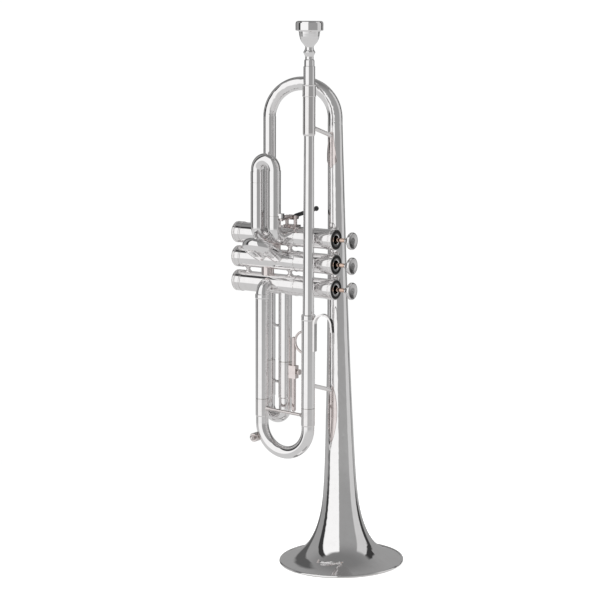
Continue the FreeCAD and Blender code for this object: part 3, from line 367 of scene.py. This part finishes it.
def plastic():
    material, g, shader, place = new_material("guide_plastic")
    cloud = g.noise(place, scale=400.0, detail=3.0, rough=0.6)
    tone = g.mix_color((0.62, 0.60, 0.55), (0.72, 0.70, 0.66), cloud)
    vary, rough = 0.2, 0.35
    roughness = g.math("MULTIPLY_ADD", cloud, vary, rough)
    grain = g.noise(place, scale=3000.0, detail=2.0, rough=0.5)
    g.feed(shader, {
        "Base Color": tone, "Roughness": roughness, "Subsurface Weight": 0.05,
        "Normal": g.bump(grain, strength=0.3, distance=0.00002)})
    return material


def floor_material():
    """Pale matt floor that fades into the backdrop away from the trumpet."""
    material, g, shader, place = new_material("floor_pale")
    surface = shader.outputs[0].links[0].to_socket
    specks = g.noise(place, scale=60.0, detail=5.0, rough=0.6)
    near = g.feed(shader, {
        "Base Color": g.mix_color((0.86, 0.86, 0.86), (0.90, 0.90, 0.895), specks),
        "Roughness": 0.9, "Specular IOR Level": 0.0,
        "Emission Color": (1, 1, 1), "Emission Strength": 0.40})
    far = g.feed(g.node("Emission"), {"Strength": BACKDROP_LEVEL})
    reach = g.node("VectorMath", operation="LENGTH")
    g.feed(reach, {0: place})
    fade = g.rise(reach.outputs["Value"], start=0.14, end=0.60)
    g.put(surface, g.mix_shader(near, far, fade))
    return material


# -------------------------------------------------------------- loaded pieces
def smooth_edges(mesh, angle):
    mesh.shade_smooth()
    mesh.set_sharp_from_angle(angle=math.radians(angle))


def dress_pieces(materials, trim, shaded_fitting):
    slots = {part["node"]: part.get("material_slot") or part.get("material")
             for part in frame["record"].get("subparts", [])}
    for name, piece in frame["nodes"].items():
        if name in TRIM_PARTS:
            material = trim
        # Water keys and the brace take the darker copy of the fitting silver: painted shade.
        elif name.startswith("water_key") or name == "main_slide_brace":
            material = shaded_fitting
        else:
            material = materials.get(slots.get(name), materials["silver_tube"])
        piece.data.materials.clear()
        piece.data.materials.append(material)
        smooth_edges(piece.data, angle=32.0)


# ------------------------------------------------------------- return springs
def add_spring(name, valve_z, material):
    """Coil of round wire along X, with a flat turn and a tapered tip at each end."""
    verts, faces = [], []
    total = int(COIL_TURNS * STEPS_PER_TURN)
    centre_travel = SPRING_END_X - SPRING_START_X - 2 * WIRE_RADIUS
    turn_advance = (SPRING_END_X - SPRING_START_X) / COIL_TURNS / (2 * math.pi)
    for i in range(total + 1):
        turn = i / STEPS_PER_TURN
        lift = min(max((turn - FLAT_TURNS) / (COIL_TURNS - 2 * FLAT_TURNS), 0.0), 1.0)
        lift = lift * lift * (3 - 2 * lift) * 0.25 + lift * 0.75
        angle = 2 * math.pi * turn
        # The coil is 2 % slimmer at mid-length.
        radius = COIL_RADIUS * (1.0 - 0.02 * math.sin(math.pi * turn / COIL_TURNS))
        outward = Vector((0, math.cos(angle), math.sin(angle)))
        centre = outward * radius
        centre.x = SPRING_START_X + WIRE_RADIUS + lift * centre_travel
        tangent = Vector((turn_advance, -math.sin(angle) * COIL_RADIUS,
                          math.cos(angle) * COIL_RADIUS)).normalized()
        side = tangent.cross(outward).normalized()
        fullness = min(min(i, total - i) / TAPER_STEPS, 1.0)
        wire = WIRE_RADIUS * (TIP_SCALE + (1 - TIP_SCALE) * fullness)
        for j in range(WIRE_SIDES):
            around = 2 * math.pi * j / WIRE_SIDES
            point = (centre + outward * (wire * math.cos(around))
                     + side * (wire * math.sin(around)))
            verts.append(design_point(point.x, VALVE_Y + point.y, valve_z + point.z))
    for i in range(total):
        for j in range(WIRE_SIDES):
            a = i * WIRE_SIDES + j
            b = i * WIRE_SIDES + (j + 1) % WIRE_SIDES
            faces.append((a, b, b + WIRE_SIDES, a + WIRE_SIDES))
    faces.append(tuple(range(WIRE_SIDES - 1, -1, -1)))
    last = total * WIRE_SIDES
    faces.append(tuple(range(last, last + WIRE_SIDES)))

    mesh = bpy.data.meshes.new(name)
    mesh.from_pydata(verts, [], faces)
    mesh.update()
    spring = bpy.data.objects.new(name, mesh)
    scene.collection.objects.link(spring)
    mesh.materials.append(material)
    smooth_edges(mesh, angle=50.0)
    return spring


def add_springs(material):
    """One spring per valve, in place of the CAD spring, attached to the horn body."""
    for k in (1, 2, 3):
        valve_z = TOP_VALVE_Z - (k - 1) * VALVE_PITCH
        spring = add_spring("return_spring_%d" % k, valve_z, material)
        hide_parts("valve_spring_%d" % k)
        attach(spring, "horn")
        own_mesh(spring)


# ----------------------------------------------------------- floor and lights
def add_floor():
    material = floor_material()
    mesh = bpy.data.meshes.new("floor")
    corners = [(x * FLOOR_HALF, y * FLOOR_HALF, FLOOR_Z)
               for x, y in ((-1, -1), (1, -1), (1, 1), (-1, 1))]
    mesh.from_pydata(corners, [], [(0, 1, 2, 3)])
    floor = bpy.data.objects.new("floor", mesh)
    scene.collection.objects.link(floor)
    mesh.materials.append(material)
    floor.visible_glossy = False


def soft_light(name, place, size, power, target):
    data = bpy.data.lights.new(name, "AREA")
    data.shape = "RECTANGLE"
    data.size, data.size_y = size
    data.energy = power
    light = bpy.data.objects.new(name, data)
    light.location = place
    light.rotation_mode = "QUATERNION"
    aim = Vector(target) - Vector(place)
    light.rotation_quaternion = aim.to_track_quat("-Z", "Y")
    scene.collection.objects.link(light)
    light.visible_glossy = False


def add_lights():
    soft_light("overhead", place=(0.0, 0.0, 2.6), size=(3.4, 3.4), power=75.0,
               target=(0, 0, 0))
    front_left = TO_CAMERA * 1.3 - TO_RIGHT * 1.7
    soft_light("panel", place=(front_left.x, front_left.y, 1.0), size=(1.6, 1.8),
               power=30.0, target=(0, 0, 0.25))


add_camera()
build_studio()
materials = {name: metal(name, **look) for name, look in METALS.items()}
# These two go to named parts and are never picked by slot.
trim = materials.pop("silver_trim")
shaded_fitting = materials.pop("silver_fitting_shaded")
materials["black_felt"] = felt()
materials["black_rubber"] = rubber()
materials["guide_plastic"] = plastic()
dress_pieces(materials, trim, shaded_fitting)
add_springs(materials["spring_steel"])
add_floor()
add_lights()
